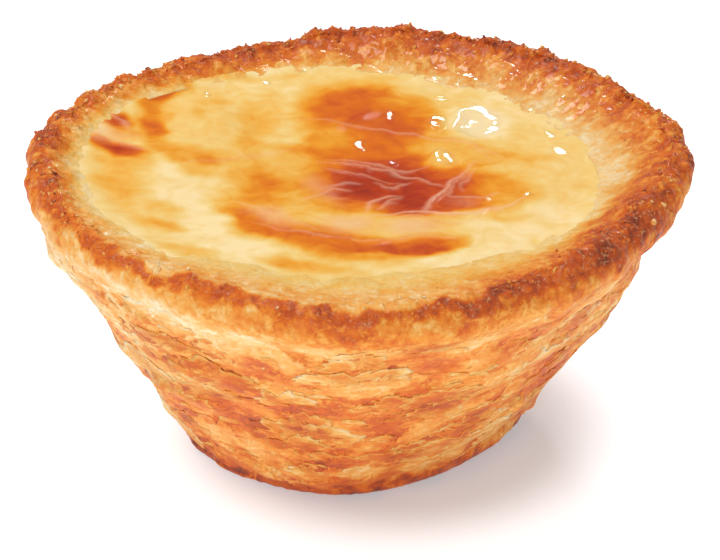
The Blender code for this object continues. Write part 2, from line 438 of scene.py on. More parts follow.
class Finish:
    """A new material: its Principled shader and the nodes that feed it."""

    def __init__(self, name, **constants):
        self.material = bpy.data.materials.new(name)
        self.material.use_nodes = True
        self.tree = self.material.node_tree
        self.shader = self.tree.nodes["Principled BSDF"]
        for key, value in constants.items():
            self.shader.inputs[key.replace("_", " ").title().replace("Ior", "IOR")].default_value = value
        self.places = self.node("ShaderNodeTexCoord", output="Object")

    def node(self, kind, settings=None, values=None, output=0):
        made = self.tree.nodes.new(kind)
        for key, value in (settings or {}).items():
            if key == "stops":
                ramp = made.color_ramp
                while len(ramp.elements) < len(value):
                    ramp.elements.new(0.5)
                for element, (stop, colour) in zip(ramp.elements, value):
                    element.position, element.color = stop, linear(*colour)
            else:
                setattr(made, key, value)
        for key, value in (values or {}).items():
            self.feed(made.inputs[key], value)
        return Wire(self, made.outputs[output])

    def feed(self, socket, value):
        if isinstance(value, Wire):
            self.tree.links.new(value.socket, socket)
        else:
            socket.default_value = value

    def value(self, name):
        return self.node("ShaderNodeAttribute", {"attribute_name": name}, output="Fac")

    def height(self):
        return self.node("ShaderNodeSeparateXYZ", None, {0: self.places}, output="Z")

    def stretched(self, scale):
        values = {"Vector": self.places, "Scale": scale}
        return self.node("ShaderNodeMapping", {"vector_type": "POINT"}, values)

    def noise(self, size, detail=3.0, rough=0.55, places=None, warp=0.0):
        """Noise from 0 to 1, whose lumps are about size millimetres across."""
        values = {
            "Vector": places or self.places,
            "Scale": 1 / (size * MM),
            "Detail": detail,
            "Roughness": rough,
            "Distortion": warp,
        }
        return self.node("ShaderNodeTexNoise", None, values)

    def cells(self, size, output):
        """Crumbs about size millimetres across: their Distance from a middle, or a Color each."""
        values = {"Vector": self.places, "Scale": 1 / (size * MM)}
        return self.node("ShaderNodeTexVoronoi", None, values, output=output)

    def mixed(self, share, first, second):
        return self.node("ShaderNodeMix", {"data_type": "RGBA"}, {0: share, 6: first, 7: second}, output=2)

    def relief(self, height, depth, strength=1.0, under=None):
        """A bump of a depth in millimetres, over another bump if one is given."""
        values = {"Height": height, "Distance": depth * MM, "Strength": strength}
        if under:
            values["Normal"] = under
        return self.node("ShaderNodeBump", None, values)

    def shade(self, **sockets):
        for key, value in sockets.items():
            self.feed(self.shader.inputs[key.replace("_", " ").title()], value)
        return self


PASTRY_COLOURS = (
    (0, (252, 226, 182)),
    (0.14, (250, 206, 142)),
    (0.3, (245, 176, 88)),
    (0.45, (235, 140, 54)),
    (0.58, (217, 103, 38)),
    (0.7, (192, 84, 42)),
    (0.84, (144, 68, 46)),
    (1, (92, 50, 40)),
)

CUSTARD_COLOURS = (
    (0, (252, 224, 168)),
    (0.15, (244, 205, 126)),
    (0.3, (242, 184, 88)),
    (0.45, (238, 156, 50)),
    (0.6, (226, 120, 38)),
    (0.75, (205, 88, 42)),
    (0.88, (180, 64, 38)),
    (1, (152, 54, 40)),
)


# The pitch of the fine torn lines on the wall, and the size of the rim's smallest crumbs
TORN_LINE_PITCH = 2.4
CRUMB_CELL = 0.42


def wall_finish():
    """Puff pastry in torn layers: cream to deep orange, each layer pale along its torn edge, partly a
    painted highlight, and browner at its foot, partly painted shade.
    """
    finish = Finish(
        "layered_puff_pastry",
        subsurface_weight=0.15,
        subsurface_radius=(1.0, 0.45, 0.2),
        subsurface_scale=0.0012,
        coat_roughness=0.25,
        specular_ior_level=0.2,
    )
    brown = finish.value("brown")
    flat = finish.stretched((1.0, 1.0, 2.0))
    blotch = finish.noise(2.6, 4.0, 0.6, flat, 0.5)
    fine = finish.noise(0.7, 4.0, 0.65, flat, 0.3)
    scrap = finish.noise(2.2, 6.0, 0.68, flat, 0.6).stepped(0.52, 0.56)
    grit = finish.noise(0.22, 2.0, 0.6)
    tear = finish.noise(4.0, 6.0, 0.62, flat, 0.4)
    up = (tear * 8.0 - finish.height() * (1 / (TORN_LINE_PITCH * MM))).math("FRACT")
    # Pale at each fine torn line, partly a painted highlight, and browner on its other side, partly painted
    # shade
    torn = 1.0 - up.stepped(0.0, 0.1)
    foot_shade = up.stepped(0.8, 1.0)
    tone = brown + (blotch - 0.5) * 0.34 + (fine - 0.5) * 0.18 + (grit - 0.5) * 0.1
    tone = tone - torn * 0.05 + foot_shade * 0.05 - (scrap - 0.5) * 0.11
    coarse = finish.relief(fine, 0.14, 0.5, finish.relief(scrap, 0.08, 0.5))
    return finish.shade(
        base_color=tone.clamped().ramp(PASTRY_COLOURS),
        normal=finish.relief(grit, 0.05, 0.4, coarse),
        roughness=0.55 + (blotch - 0.5) * 0.4,
        coat_weight=((blotch - 0.46) * 1.6).clamped() * 0.5,
    )


def rim_finish():
    """The rim's craggy crust: browned crumbs with paler tips, partly painted glints, glazed where the
    custard met it.
    """
    finish = Finish(
        "craggy_crust",
        subsurface_weight=0.1,
        subsurface_radius=(1.0, 0.45, 0.2),
        subsurface_scale=0.001,
        coat_roughness=0.14,
        specular_ior_level=0.04,
    )
    brown, wet, glaze = finish.value("brown"), finish.value("wet"), finish.value("glaze")
    blotch = finish.noise(1.8, 4.0, 0.62, warp=0.4)
    fine = finish.noise(0.5, 4.0, 0.65, warp=0.3)
    crumb, dome = finish.cells(CRUMB_CELL, "Color"), finish.cells(CRUMB_CELL, "Distance")
    scrap = finish.noise(1.5, 6.0, 0.7, warp=0.6).stepped(0.52, 0.56)
    speckle = (blotch - 0.5) * 0.3 + (fine - 0.5) * 0.22 + (crumb - 0.5) * 0.08 - (scrap - 0.5) * 0.11
    tone = (brown + speckle * (1.0 - glaze * 0.5)).clamped()
    glazed = finish.mixed(glaze, tone.ramp(PASTRY_COLOURS), tone.ramp(CUSTARD_COLOURS))
    # Paler tips on the browner crumbs: partly pale crust, partly painted glints
    tip_and_glint = ((fine - 0.53) * 7.0).clamped() * brown.stepped(0.4, 0.7) * 0.6
    domes = finish.relief(1.0 - dome, 0.08, 0.5, finish.relief(scrap, 0.1, 0.5))
    return finish.shade(
        base_color=finish.mixed(tip_and_glint, glazed, linear(240, 178, 124)),
        normal=finish.relief(blotch, 0.4, 0.4, finish.relief(fine, 0.25, 0.6, domes)),
        roughness=0.55 - 0.15 * wet + (blotch - 0.5) * 0.4,
        coat_weight=(wet + (blotch - 0.5) * 0.9 - glaze * 0.5).clamped(),
    )


def custard_finish():
    """Baked custard: pale yellow to burnt caramel, under a glossy skin whose paler folds and veils are
    partly a painted sheen.
    """
    finish = Finish(
        "caramelised_custard",
        subsurface_weight=0.15,
        subsurface_radius=(1.0, 0.6, 0.2),
        subsurface_scale=0.0014,
        coat_roughness=0.07,
        specular_ior_level=0.0,
        coat_ior=1.4,
    )
    scorch, skin, wet = finish.value("scorch"), finish.value("skin"), finish.value("wet")
    cloud = finish.noise(5.0, 3.0, 0.5, warp=1.0)
    swirl = finish.noise(3.0, 2.0, 0.4, warp=1.4)
    tone = scorch + (cloud - 0.5) * 0.26 + (swirl - 0.5) * 0.26
    colour = tone.clamped().ramp(CUSTARD_COLOURS)
    return finish.shade(
        # Pale pinkish skin over the colour: partly a painted sheen
        base_color=finish.mixed(skin.clamped() * 0.8, colour, linear(244, 190, 156)),
        normal=finish.relief(swirl, 0.05, 0.5),
        roughness=0.36 + (cloud - 0.5) * 0.2,
        coat_weight=(wet + 0.05 + (cloud - 0.5) * 0.3).clamped(),
    )


# The cup's wall

# How much the wander of the layers' torn edges takes from noise of each size
LAYER_WANDER = ((11, 1.3), (4.5, 0.75), (2, 0.35), (0.9, 0.18), (0.45, 0.1))
LAYER_PITCH = 4.6
# How much of a layer's lift is taken off again, so that the wall keeps its size
LAYER_LEVEL = 0.35
LAYER_LIFT = (0.03, 0.17)
LAYER_TONE = (5, 0.24)
LAYER_PATCH = (6, 1.6)
THIN_PITCH = 1.5
THIN_WANDER = ((8, 1.5), (2.6, 0.8), (0.9, 0.35))
# How strongly the thin layers show, by bearing
THIN_LIFT = (0.08, 0.06, 0.05, 0.05, 0.05, 0.07, 0.1, 0.1, 0.05, 0.03, 0.04, 0.08)
WALL_GRAIN = (0.7, 0.07)
# Paler along each layer's torn edge, partly a painted highlight; browner at the foot of the layer above it,
# partly painted shade
TORN_PALE_AND_HIGHLIGHT = 0.1
LAYER_FOOT_BROWN_AND_SHADE = 0.1
# The wall's lip under the rim: how far in from the outside, and how far down, it goes
LIP_WIDTH = 2.4
LIP_DROP = 2.6


def make_flakes():
    """Bearing, height, half length, half height, lift and seed of each flake, as in the solids."""
    draw = random.Random(FLAKE_SEED)
    spans = ((0, TURN), (0, min(RIM_HEIGHT)), FLAKE_HALF_LENGTH, FLAKE_HALF_HEIGHT, FLAKE_LIFT, (0, 50))
    return [[draw.uniform(*span) for span in spans] for _ in range(FLAKE_COUNT)]


def flake_relief(bearing, radius, height):
    """How far the stacked flakes stand out over the wall, whose rows rise."""
    relief = np.full(radius.shape, -FLAKE_SINK)
    x, y = level_places(radius, bearing)
    levels, narrowest = height.mean(axis=1), min(BASE_RADIUS)
    for middle, level, half_length, half_height, lift, seed in make_flakes():
        rows = np.abs(levels - level) < FLAKE_REACH * half_height + 2.0
        columns = np.abs(turned(bearing[0], middle)) * narrowest < FLAKE_REACH * half_length
        window = np.ix_(rows, columns)
        up = (height[window] - level) / half_height
        along = turned(bearing[window], middle) * radius[window] / half_length
        away = np.hypot(along, up) + grain(x[window], y[window], height[window], *TORN_EDGE, seed)
        stamp = lift * (1 - blend(FLAKE_STEP, 1.0, away)) * (1 + FLAKE_PEEL * (up - 1))
        relief[window] += np.where(np.maximum(np.abs(along), np.abs(up)) < FLAKE_REACH, stamp, 0.0)
    return relief


def crag_relief(x, y, z):
    """The rim's lumps and crumbs, as in the solids."""
    return grain(x, y, z, *RIM_LUMP) + np.abs(grain(x, y, z, *RIM_CRUMB, 9.0))


def layers_up(x, y, height, pitch, wander, seed):
    """How far up its own layer each place is, from 0 at its foot to 1 at its torn edge, and which."""
    place_up = height / pitch
    for size, depth in wander:
        place_up = place_up + grain(x, y, height, size, depth, seed)
        seed += 2.0
    number = np.floor(place_up)
    return place_up - number, number


def torn_relief(x, y, height, bearing):
    """How far the torn layers stand out, and how they change the browning: paler at each torn edge, partly
    a painted highlight, and browner at each layer's foot, partly painted shade.
    """
    up, number = layers_up(x, y, height, LAYER_PITCH, LAYER_WANDER, 51.0)
    low, high = LAYER_LIFT
    lift = low + (high - low) * np.clip(0.5 + grain(x, y, height + 40 * number, *LAYER_PATCH, 63.0), 0, 1)
    relief = lift * (up**2 - LAYER_LEVEL)
    tone = grain(x, y, height + 37 * number, *LAYER_TONE, 61.0)
    # Paler at the torn edge, partly a painted highlight, and browner at the layer's foot, partly painted
    # shade
    tone = tone - TORN_PALE_AND_HIGHLIGHT * blend(0.88, 0.99, up)
    tone = tone + LAYER_FOOT_BROWN_AND_SHADE * (1 - blend(0.02, 0.22, up)) * lift / high
    up, number = layers_up(x, y, height, THIN_PITCH, THIN_WANDER, 71.0)
    lift = around(THIN_LIFT, bearing)
    relief = relief + lift * (up**2 - LAYER_LEVEL)
    # The thin layers likewise: browner at their feet, partly painted shade, and paler at their edges,
    # partly a painted highlight
    tone = tone + lift * (1.6 * (1 - blend(0.0, 0.3, up)) - 1.0 * blend(0.75, 0.95, up))
    return relief, tone


def wall_sections():
    """The wall's bearings, radii, heights and flakiness, row by row, before its relief."""
    bearing = column_bearings(WALL_COLUMNS)
    base, edge = around(BASE_RADIUS, bearing), around(BASE_EDGE, bearing)
    rows = []
    for row in range(EDGE_ROWS):
        turn = math.pi / 2 * row / EDGE_ROWS
        rows.append((base - edge * (1 - math.sin(turn)), edge * (1 - math.cos(turn)), 0.0))
    for row in range(WALL_ROWS + 1):
        share = row / WALL_ROWS
        flaky = blend(0.0, 0.12, share) * (1 - blend(0.88, 1.0, share))
        rows.append((*wall_point(bearing, share), flaky))
    return stacked(bearing, rows)


def make_wall(finish):
    """The cup's outer wall, base and inside, up to just under the rim."""
    bearing, radius, height, flaky = wall_sections()
    x, y = level_places(radius, bearing)
    out_radius, out_height = outward(radius, height)
    rising = blend(0, EDGE_ROWS, np.arange(len(x)))[:, None]
    relief = grain(x, y, height, *PASTRY_WAVE, 2.0) * rising
    relief = relief + flaky * softened(flake_relief(bearing, radius, height), 3)
    relief = relief + (1 - flaky) * around(CRAGGY, bearing) * crag_relief(x, y, height) * rising
    broad = relief.copy()
    torn, tone = torn_relief(x, y, height, bearing)
    relief = relief + torn * rising + grain(x, y, height * 1.8, *WALL_GRAIN, 8.0)
    stamped_radius, stamped_height = radius + relief * out_radius, height + relief * out_height
    stamped_height = np.maximum(stamped_height, 0.0)
    stamped_height[0] = 0.0
    lip_radius, lip_height = stamped_radius[-1] - LIP_WIDTH, stamped_height[-1] - LIP_DROP
    inner = fill_radius(bearing[0], lip_height) - 0.1
    floor_radius = fill_radius(bearing[0], FLOOR_THICKNESS)
    radius = np.vstack([stamped_radius, lip_radius, inner, floor_radius])
    height = np.vstack([stamped_height, lip_height, lip_height, np.full(WALL_COLUMNS, FLOOR_THICKNESS)])
    bearing = np.broadcast_to(bearing[0], radius.shape)
    sheet, column, row = wrapped_sheet(WALL_COLUMNS, len(radius) - 1)
    place(sheet, from_polar(radius, bearing, height)[row, column])
    # Browner where the surface lies below its smoothed self and paler on its lumps: painted shade in the
    # hollows, painted light on the lumps
    shaded_hollow = softened(broad, 10) - broad
    tone = np.vstack([tone + np.clip(shaded_hollow, -0.2, 0.3) * 0.4, np.zeros((3, WALL_COLUMNS))])
    brown = wall_brown(bearing, height) + tone
    near_rim = blend(WALL_ROWS * 0.8, WALL_ROWS * 0.96, np.arange(len(radius)) - EDGE_ROWS)[:, None]
    brown = brown + around(UNDER_TONE, bearing) * near_rim
    finish_piece(sheet, "pastry_wall", finish, ["pastry_cup"], {"brown": brown[row, column]})
    return softened(broad + torn, 2)


# Torn plates on the wall, the browner hollows that show above them, partly the lower layer's browning and
# partly painted shade, and small flakes between

PLATE_COUNT = 130
PLATE_SEED = 5
PLATE_POINTS = 84
PLATE_RINGS = (0.1, 0.16, 0.3)
PLATE_THICKNESS = 0.16
PLATE_HALF_LENGTH = (2.4, 7.6)
PLATE_HALF_HEIGHT = (2, 4.6)
PLATE_PEEL = (0.02, 0.14)
PLATE_SHARES = (0.06, 0.9)
PLATE_TILT = 0.16
PLATE_TONE = 0.09
PLATE_WAVE = (1.6, 0.06)
PLATE_BLOTCH = (2.4, 0.16)
# Paler along a plate's torn top edge, partly a painted highlight; browner over its lower half, partly
# painted shade
PLATE_EDGE_PALE_AND_HIGHLIGHT = 0.24
PLATE_FOOT_BROWN_AND_SHADE = 0.05
# How much browner the cut edges and the undersides are: partly the crust's browning, partly painted shade
# on their shaded sides
CUT_BROWN_AND_SHADE = 0.2
# The ragged outline of a plate: the size and depth of each kind of tear, in millimetres
PLATE_TEARS = ((3, 1.3), (1.3, 1.1), (0.55, 0.6))
HOLLOW_POINTS = 60
HOLLOW_RINGS = (0.15, 0.2)
HOLLOW_RISE = 1.1
HOLLOW_PEEL = -0.05
# How much browner each hollow is towards its middle: partly painted shade
HOLLOW_SHADE_TONE = (0, 0.42)
FLECK_COUNT = 800
FLECK_SEED = 9
FLECK_POINTS = 11
FLECK_RINGS = (0.4,)
FLECK_HALF_LENGTH = (0.3, 1.5)
FLECK_SLIM = (0.3, 0.8)
FLECK_PEEL = (0, 0.12)
FLECK_TEARS = ((0.8, 0.5), (0.35, 0.2))
# How much paler a fleck's torn top edge is: partly a painted highlight
FLECK_EDGE_PALE_AND_HIGHLIGHT = 0.12
WALL_SLANT = 34
# The share of a turn from each plate to the next, which never lines them up
GOLDEN_STEP = 0.618034
PLATE_STRAY = 0.03
# How deep the lower edge of a plate lies in the wall
PLATE_TUCK = 0.25


def plate_pattern(points, rings):
    """A flat plate: a disc with rings of faces on top and a plain underside."""
    plate = bmesh.new()
    bmesh.ops.create_cone(
        plate, cap_ends=True, cap_tris=False, segments=points, radius1=1.0, radius2=1.0, depth=1.0
    )
    for thickness in rings:
        top = max(plate.faces, key=lambda face: face.calc_center_median().z + 0.01 * len(face.verts))
        bmesh.ops.inset_region(plate, faces=[top], thickness=thickness, use_even_offset=False)
    bmesh.ops.poke(plate, faces=[face for face in plate.faces if len(face.verts) > 4])
    return plate


def lay_on_wall(points, draw, half_length, half_height, peel, tears, relief, rise_by=0.0):
    """Places and browning of torn plates on the wall, their place out to their edge, and up."""
    count = len(half_length)
    one = (count, 1)
    start = np.arange(count)[:, None] * GOLDEN_STEP
    middle = (start % 1.0 + draw.uniform(-PLATE_STRAY, PLATE_STRAY, one)) * TURN
    share = draw.uniform(*PLATE_SHARES, one)
    tilt = draw.normal(0, PLATE_TILT, one)
    seed = draw.uniform(0, 60, one)
    tone = draw.normal(0, PLATE_TONE, one)
    turn = np.arctan2(points[:, 1], points[:, 0])[None, :]
    reach = np.hypot(points[:, 0], points[:, 1])[None, :]
    top = (points[:, 2] > 0)[None, :]
    ring_x, ring_y = np.cos(turn) * half_length, np.sin(turn) * half_height
    torn = 0.0
    for size, depth in tears:
        torn = torn + depth * (0.35 - 2 * np.abs(grain(ring_x, ring_y, seed * 9, size, 1.0, 4.0)))
    grown = 1 + torn / np.hypot(ring_x, ring_y)
    right, rise = reach * grown * ring_x, reach * grown * ring_y + rise_by
    up = reach * np.sin(turn)
    right, rise = right * np.cos(tilt) - rise * np.sin(tilt), rise * np.cos(tilt) + right * np.sin(tilt)
    middle_radius, _ = wall_point(middle, share)
    bearing, share = middle + right / middle_radius, share + rise / WALL_SLANT
    radius, height = wall_point(bearing, share)
    radius_up, height_up = wall_point(bearing, share + 0.01)
    length = np.hypot(radius_up - radius, height_up - height)
    out_radius, out_height = (height_up - height) / length, -(radius_up - radius) / length
    under = bilinear(relief, EDGE_ROWS + np.clip(share, 0, 1) * WALL_ROWS, column_at(bearing, WALL_COLUMNS))
    lifted = peel * blend(-0.7, 0.7, up) - PLATE_TUCK * (1 - blend(-1.0, -0.3, up))
    offset = under + lifted + grain(right + seed, rise, seed, *PLATE_WAVE)
    offset = offset - np.where(top, 0.0, PLATE_THICKNESS)
    radius, height = radius + offset * out_radius, np.maximum(height + offset * out_height, 0.05)
    brown = wall_brown(bearing, height) + tone + grain(right + seed, rise, seed, *PLATE_BLOTCH)
    # Browner sides and undersides: partly painted shade
    brown = brown + np.where(top, 0.0, CUT_BROWN_AND_SHADE)
    return from_polar(radius, bearing, height).reshape(-1, 3), brown, reach, up


def make_plates(finish, relief):
    """Large torn plates on the wall, each pale along its torn edge, partly a painted highlight, and browner
    above it, partly painted shade.
    """
    one = (PLATE_COUNT, 1)
    low, high = PLATE_HALF_LENGTH
    for name, points, rings in (
        ("pastry_shade_hollows", HOLLOW_POINTS, HOLLOW_RINGS),
        ("pastry_plates", PLATE_POINTS, PLATE_RINGS),
    ):
        draw = np.random.default_rng(PLATE_SEED)
        many, shape = copied(plate_pattern(points, rings), PLATE_COUNT)
        half_length = low + (high - low) * draw.uniform(0, 1, one) ** 1.5
        half_height = draw.uniform(*PLATE_HALF_HEIGHT, one) * (0.4 + 0.6 * half_length / high)
        peel = draw.uniform(*PLATE_PEEL, one)
        shaded_hollow = name == "pastry_shade_hollows"
        peel, rise_by = (HOLLOW_PEEL, HOLLOW_RISE) if shaded_hollow else (peel, 0.0)
        sizes = (half_length, half_height, peel)
        laid, brown, reach, up = lay_on_wall(shape, draw, *sizes, PLATE_TEARS, relief, rise_by)
        if shaded_hollow:
            # Browner over the hollow's middle and top, above the plate's torn edge: partly painted shade
            hollow_shade = draw.uniform(*HOLLOW_SHADE_TONE, one)
            brown = brown + hollow_shade * (1 - blend(0.7, 1.0, reach)) * blend(-0.4, 0.3, up)
        else:
            # Browner lower half, partly painted shade, and paler torn top edge, partly a painted highlight
            brown = brown + PLATE_FOOT_BROWN_AND_SHADE * (1 - blend(-1, 0.0, up))
            brown = brown - PLATE_EDGE_PALE_AND_HIGHLIGHT * blend(0.84, 1.0, reach) * blend(-0.6, 0.2, up)
        place(many, laid)
        finish_piece(many, name, finish, [], {"brown": brown.reshape(-1)})


def make_flecks(finish, relief):
    """Small loose flakes on the wall."""
    one = (FLECK_COUNT, 1)
    draw = np.random.default_rng(FLECK_SEED)
    many, points = copied(plate_pattern(FLECK_POINTS, FLECK_RINGS), FLECK_COUNT)
    low, high = FLECK_HALF_LENGTH
    half_length = low + (high - low) * draw.uniform(0, 1, one) ** 2.0
    half_height = half_length * draw.uniform(*FLECK_SLIM, one)
    peel = draw.uniform(*FLECK_PEEL, one)
    laid, brown, reach, up = lay_on_wall(points, draw, half_length, half_height, peel, FLECK_TEARS, relief)
    # Paler along the fleck's torn top edge: partly a painted highlight
    brown = brown - FLECK_EDGE_PALE_AND_HIGHLIGHT * blend(0.6, 1.0, reach) * blend(-0.4, 0.3, up)
    place(many, laid)
    finish_piece(many, "pastry_flecks", finish, [], {"brown": brown.reshape(-1)})


# The rim

# Where on the wall the rim's crust starts, and how deep in the wall it lies there
SKIRT_START = 0.86
SKIRT_SINK = 0.35
SKIRT_RISE = 0.1
# Crumbs of the rim's crust: size round the rim, size across it, and height
COARSE_CRUMB = (1.6, 2.2, 0.34)
FINE_CRUMB = (0.6, 1, 0.2)
RIM_GRAIN = (0.5, 0.14)
# How far the crust is set back, so that its crumbs lie about the solid's surface
CRUST_SETTLE = 0.26
# The rim's patches and specks of browning: size and depth
RIM_PATCH = (3.6, 0.18)
RIM_SPECK = (0.9, 0.13)
# How craggy the slope is beside the crest, how deep its edge lies in the custard, and the brown of
# the creases between crumbs, partly the crust's own browning and partly painted shade
SLOPE_CRAG = 0.2
INNER_SINK = 0.08
CREASE_BROWN_AND_SHADE = 0.25
# How far in, and down into the custard, the slope's last row goes
LAST_ROW_IN = 0.4
LAST_ROW_DROP = 2.0


def rim_sections():
    """The rim's ring: out of the wall, over its roll, down its slope and back under."""
    bearing = column_bearings(RIM_COLUMNS)
    rows = []
    for row in range(SKIRT_ROWS):
        t = row / SKIRT_ROWS
        radius, height = wall_point(bearing, SKIRT_START + (1 - SKIRT_START) * t)
        rows.append((radius + SKIRT_RISE * t - SKIRT_SINK * (1 - t), height, 0.0))
    for row in range(ROLL_ROWS):
        turn = ROLL_UNDERSIDE + (math.pi / 2 - ROLL_UNDERSIDE) * row / ROLL_ROWS
        radius, height = roll_point(bearing, turn)
        t = row / ROLL_ROWS
        rows.append((radius + SKIRT_RISE * (1 - t), height, blend(0.15, 0.7, t)))
    crest_radius, crest_height = roll_point(bearing, math.pi / 2)
    room = fill_radius(bearing, around(CUSTARD_EDGE, bearing))
    inner_radius = room - around(CREEP, bearing)
    inner = level_places(inner_radius, bearing)
    inner_height = custard_height(*inner, inner_radius / room, bearing) - INNER_SINK
    for row in range(SLOPE_ROWS + 1):
        t = row / SLOPE_ROWS
        radius = crest_radius + (inner_radius - crest_radius) * t
        height = crest_height - (crest_height - inner_height) * blend(-0.25, 1.1, t)
        rows.append((radius, height, 0.85 * (1.0 - t)))
    rows.append((inner_radius - LAST_ROW_IN, inner_height - LAST_ROW_DROP, 0.0))
    return stacked(bearing, rows)


def crust_crumbs(bearing, radius, height, kind):
    """The crumbs of the rim's crust, longer across the rim than round it."""
    size_round, size_across, depth = kind
    along = np.cumsum(np.hypot(np.gradient(radius, axis=0), np.gradient(height, axis=0)), axis=0)
    x, y = level_places(max(RIM_RADIUS), bearing)
    dome, value = crumbs(x / size_round, y / size_round, along / size_across, depth * 50)
    return dome * depth * (0.4 + value), value


def make_rim(finish, wall_relief):
    """The craggy rim, and where crumbs may sit: places, ways out, browning and place across."""
    bearing, radius, height, crusty = rim_sections()
    x, y = level_places(radius, bearing)
    out_radius, out_height = outward(radius, height)
    rows = np.arange(len(radius))[:, None] - SKIRT_ROWS
    on_slope = 0.5 + 0.5 * (rows - ROLL_ROWS) / SLOPE_ROWS
    across = np.where(rows <= ROLL_ROWS, 0.5 * rows / ROLL_ROWS, on_slope)
    across = np.broadcast_to(np.clip(across, 0, 1), x.shape)
    craggy = around(CRAGGY, bearing)
    sloping = blend(0.5, 1.0, across)
    relief = grain(x, y, height, *PASTRY_WAVE, 2.0) * (1 - sloping)
    relief = relief + crag_relief(x, y, height) * craggy * (1 - (1 - SLOPE_CRAG) * sloping)
    coarse, coarse_value = crust_crumbs(bearing, radius, height, COARSE_CRUMB)
    fine, fine_value = crust_crumbs(bearing, radius, height, FINE_CRUMB)
    crag = coarse + fine + grain(x, y, height, *RIM_GRAIN, 17.0) - CRUST_SETTLE
    relief = relief + crag * craggy * (0.12 + 0.88 * crusty)
    skirt = SKIRT_START + (1 - SKIRT_START) * np.clip((rows + SKIRT_ROWS) / SKIRT_ROWS, 0, 1)
    wall_row = np.broadcast_to(EDGE_ROWS + skirt * WALL_ROWS, x.shape)
    on_wall = bilinear(wall_relief, wall_row, column_at(bearing, WALL_COLUMNS))
    relief = on_wall + (relief - on_wall) * blend(0.0, 0.4 * ROLL_ROWS, rows)
    radius, height = radius + relief * out_radius, height + relief * out_height
    sheet, column, row = wrapped_sheet(RIM_COLUMNS, len(radius), closed_rows=True)
    points = from_polar(radius, bearing, height)
    place(sheet, points[row, column])
    patches = grain(x, y, height, *RIM_PATCH, 21.0) + grain(x, y, height, *RIM_SPECK, 23.0)
    patches = patches + craggy * (0.16 * (coarse_value - 0.5) + 0.14 * (fine_value - 0.5))
    brown = rim_brown(bearing, height, across) + patches * (0.5 + 0.5 * craggy) * (1 - 0.5 * sloping)
    # Browner in the creases between crumbs: partly the crust's browning, partly painted shade
    brown = brown + CREASE_BROWN_AND_SHADE * np.clip(-crag, 0, 0.4)
    wet = 0.1 + around(WET, bearing) * blend(0.5, 0.8, across)
    glaze = around(GLAZED, bearing) * blend(0.55, 0.92, across + 0.5 * patches)
    values = {"brown": brown[row, column], "wet": wet[row, column], "glaze": glaze[row, column]}
    finish_piece(sheet, "pastry_rim", finish, ["pastry_cup"], values)
    ways = from_polar(out_radius, bearing, out_height)
    used = slice(SKIRT_ROWS + ROLL_ROWS // 2, SKIRT_ROWS + ROLL_ROWS + SLOPE_ROWS)
    return points[used], ways[used], brown[used], across[used, 0]


CRUMB_COUNT = 1200
CRUMB_SEED = 8
CRUMB_SIZE = (0.08, 0.32)
# Where across the rim most crumbs stand and how widely, how many stray from there, and how far
CRUMB_LINE = (0.43, 0.12)
CRUMB_STRAYS = 0.04
CRUMB_END = 0.75
CRUMB_LEAN = 0.35
# Each crumb's change of browning, random and paler on average: partly pale shards, partly painted glints
CRUMB_TONE_AND_GLINT = (-0.1, 0.16)


def make_crumbs(finish, points, ways, brown, across):
    """Shards and crumbs that stand on the rim, most of them along its crest."""
    draw = np.random.default_rng(CRUMB_SEED)
    pattern = bmesh.new()
    bmesh.ops.create_icosphere(pattern, subdivisions=1, radius=1.0)
    many, shape = copied(pattern, CRUMB_COUNT)
    middle, spread = CRUMB_LINE
    liking = np.exp(-(((across - middle) / spread) ** 2)) + CRUMB_STRAYS * (across < CRUMB_END)
    rows = draw.choice(len(liking), CRUMB_COUNT, p=liking / liking.sum())
    liking_round = around(CRAGGY, column_bearings(points.shape[1])) ** 3
    columns = draw.choice(points.shape[1], CRUMB_COUNT, p=liking_round / liking_round.sum())
    low, high = CRUMB_SIZE
    size = low + (high - low) * draw.uniform(0, 1, CRUMB_COUNT) ** 2.5
    tall = draw.uniform(0.5, 1.4, CRUMB_COUNT)
    places = np.zeros((CRUMB_COUNT, len(shape), 3))
    for index in range(CRUMB_COUNT):
        way = ways[rows[index], columns[index]]
        lumpy = shape * draw.uniform(0.6, 1.35, (len(shape), 1))
        scale = size[index] * np.array([draw.uniform(0.8, 1.6), draw.uniform(0.5, 1.0), tall[index]])
        lean = Vector(way + draw.normal(0, CRUMB_LEAN, 3)).to_track_quat("Z", "Y").to_matrix()
        spin = Euler((0, 0, draw.uniform(0, TURN))).to_matrix()
        turned_shape = (lumpy * scale) @ np.array(lean @ spin).T
        places[index] = points[rows[index], columns[index]] + turned_shape
    place(many, places.reshape(-1, 3))
    # Paler crumbs: partly pale shards, partly painted glints
    tone = brown[rows, columns] + draw.normal(*CRUMB_TONE_AND_GLINT, CRUMB_COUNT)
    values = {
        "brown": np.repeat(tone, len(shape)),
        "wet": np.repeat(draw.uniform(0.1, 0.9, CRUMB_COUNT), len(shape)),
        "glaze": np.zeros(CRUMB_COUNT * len(shape)),
    }
    finish_piece(many, "rim_crumbs", finish, [], values)


# The custard

# The skin's small ripples: size and depth
SKIN_RIPPLE = (3, 0.07)
# How dark the skin is between its spots, where its edge turns to cream, and its slow clouds
CUSTARD_SCORCH = 0.14
SCORCH_CLOUD = (7, 0.08)
EDGE_CREAM = (0.84, 1)
